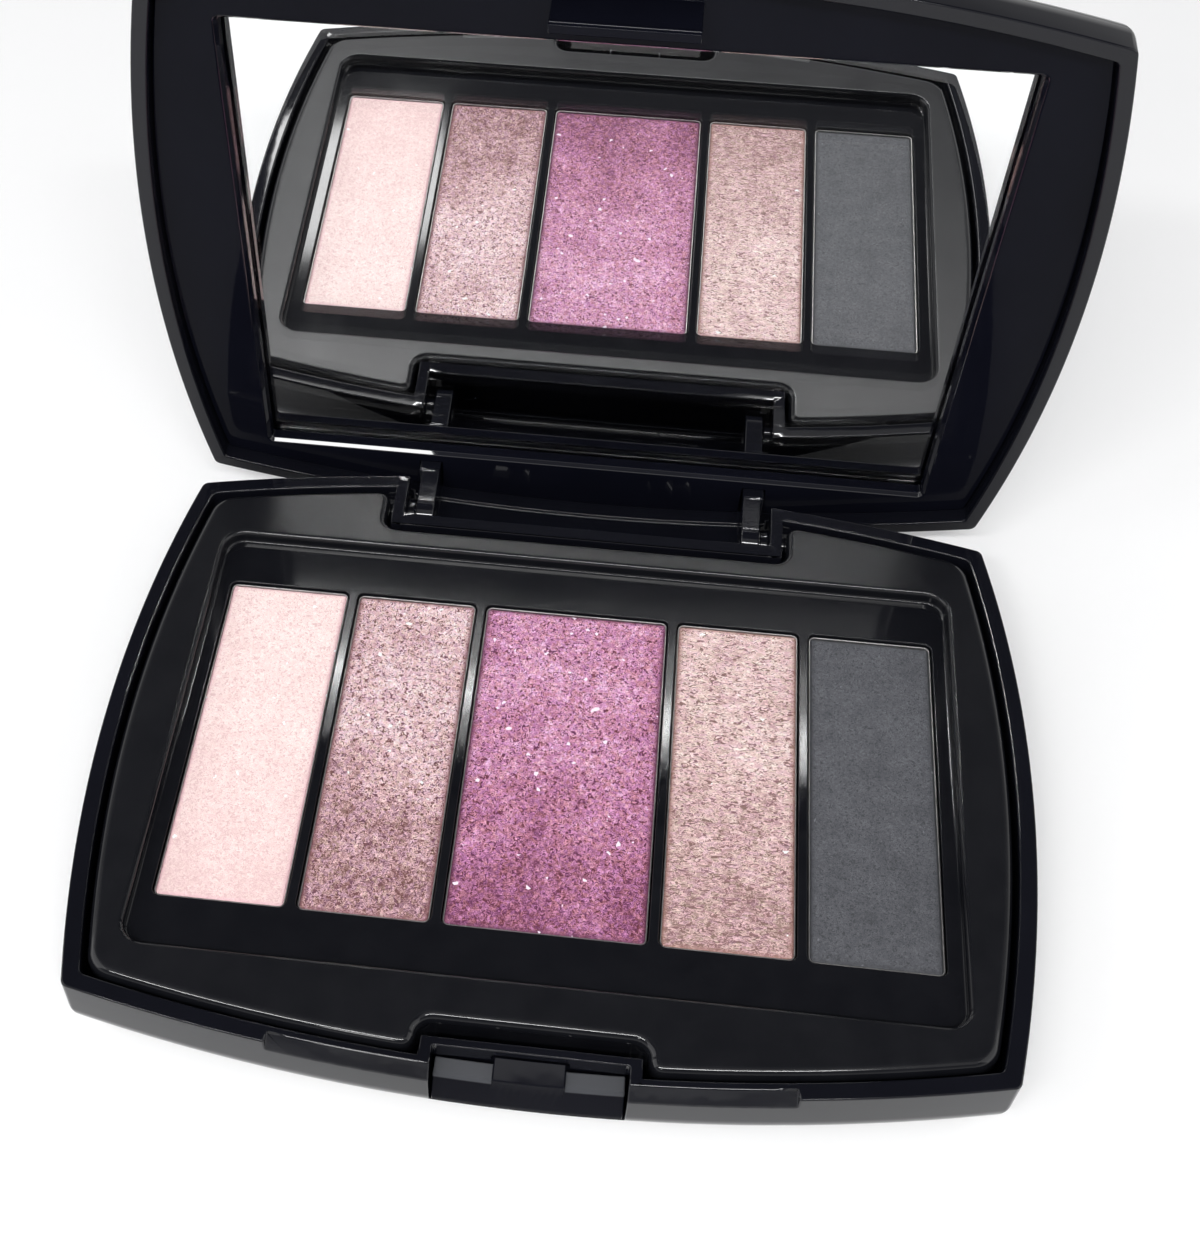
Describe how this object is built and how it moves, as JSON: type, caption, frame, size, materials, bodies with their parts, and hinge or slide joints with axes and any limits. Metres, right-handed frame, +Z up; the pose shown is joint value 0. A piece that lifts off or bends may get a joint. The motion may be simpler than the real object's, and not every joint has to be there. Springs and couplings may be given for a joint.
{
  "type": "eyeshadow palette",
  "caption": "Slim black barrel-sided eyeshadow compact with pressed-powder pans in a drop-in tray, a hinged mirror lid and a push-button catch.",
  "frame": {"origin": "centre of the base's flat underside, where the palette rests on a table", "axes": "+X to the user's right along the hinge, +Y from the push button towards the hinge, +Z up out of the pans"},
  "size_m": [0.084, 0.0717, 0.0672],
  "materials": {
    "case_plastic": "moulded, polished",
    "tray_plastic": "moulded, satin",
    "pan_metal": "pressed, plain",
    "powder_1": "pressed mineral powder, satin pale pink",
    "powder_2": "pressed mineral powder, coarse metallic rose brown",
    "powder_3": "pressed mineral powder, shimmering plum",
    "powder_4": "pressed mineral powder, shimmering rose champagne",
    "powder_5": "pressed mineral powder, matte charcoal",
    "adhesive": "dried glue pad",
    "button_plastic": "moulded, polished",
    "steel_wire": "drawn spring wire",
    "steel_pin": "cut and plated",
    "frame_plastic": "moulded, mirror gloss",
    "mirror_glass": "back-silvered glass",
    "foam_pad": "thin foam"
  },
  "bodies": {
    "base": {"base_shell": "case_plastic", "pan_tray": "tray_plastic", "pan_1": "pan_metal", "pan_2": "pan_metal", "pan_3": "pan_metal", "pan_4": "pan_metal", "pan_5": "pan_metal", "powder_1": "powder_1", "powder_2": "powder_2", "powder_3": "powder_3", "powder_4": "powder_4", "powder_5": "powder_5", "pan_adhesive": "adhesive", "latch_spring": "steel_wire", "hinge_pin_left": "steel_pin", "hinge_pin_right": "steel_pin"},
    "lid": {"lid_shell": "case_plastic", "mirror_frame": "frame_plastic", "mirror": "mirror_glass", "mirror_pad": "foam_pad"},
    "latch_button": {"latch_button": "button_plastic"}
  },
  "joints": [
    {"name": "lid_hinge", "type": "hinge", "parent": "base", "child": "lid", "pos_m": [0, 0.02955, 0.0047], "axis": [1, 0, 0], "range_deg": [-12, 88]},
    {"name": "button_press", "type": "slide", "parent": "base", "child": "latch_button", "axis": [0, 1, 0], "range_m": [0, 0.0009], "stiffness_N_per_m": 1800, "deforming": ["latch_spring"]}
  ]
}
